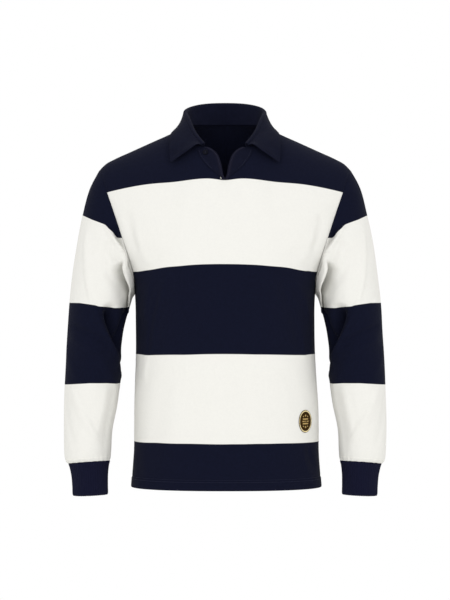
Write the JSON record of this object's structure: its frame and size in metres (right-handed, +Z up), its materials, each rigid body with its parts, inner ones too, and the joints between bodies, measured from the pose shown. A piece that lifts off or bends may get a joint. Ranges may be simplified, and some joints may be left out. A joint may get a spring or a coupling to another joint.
{
  "type": "long-sleeved polo shirt",
  "caption": "Wide-striped long-sleeved polo shirt in worn form, hollow, with turned-down collar, open neck slit, ribbed cuffs and a small plain badge.",
  "frame": {"origin": "middle of the neck opening, at the height where the shoulder line meets the collar; the wearer's shoulders hold the shirt here", "axes": "+Z up, the front faces -Y, +X towards the wearer's left"},
  "size_m": [0.652, 0.2561, 0.7988],
  "materials": {
    "jersey": "heavy cotton jersey in wide navy and off-white stripes",
    "rib": "navy cotton rib knit",
    "twill": "navy cotton twill",
    "rubber_button": "dull moulded rubber",
    "embroidery": "embroidered twill patch"
  },
  "bodies": {
    "root": {"front": "jersey", "back": "jersey", "sleeve_left": "jersey", "sleeve_right": "jersey", "cuff_left": "rib", "cuff_right": "rib", "collar": "twill", "placket_left": "twill", "placket_right": "twill", "button": "rubber_button", "badge": "embroidery"}
  },
  "joints": []
}
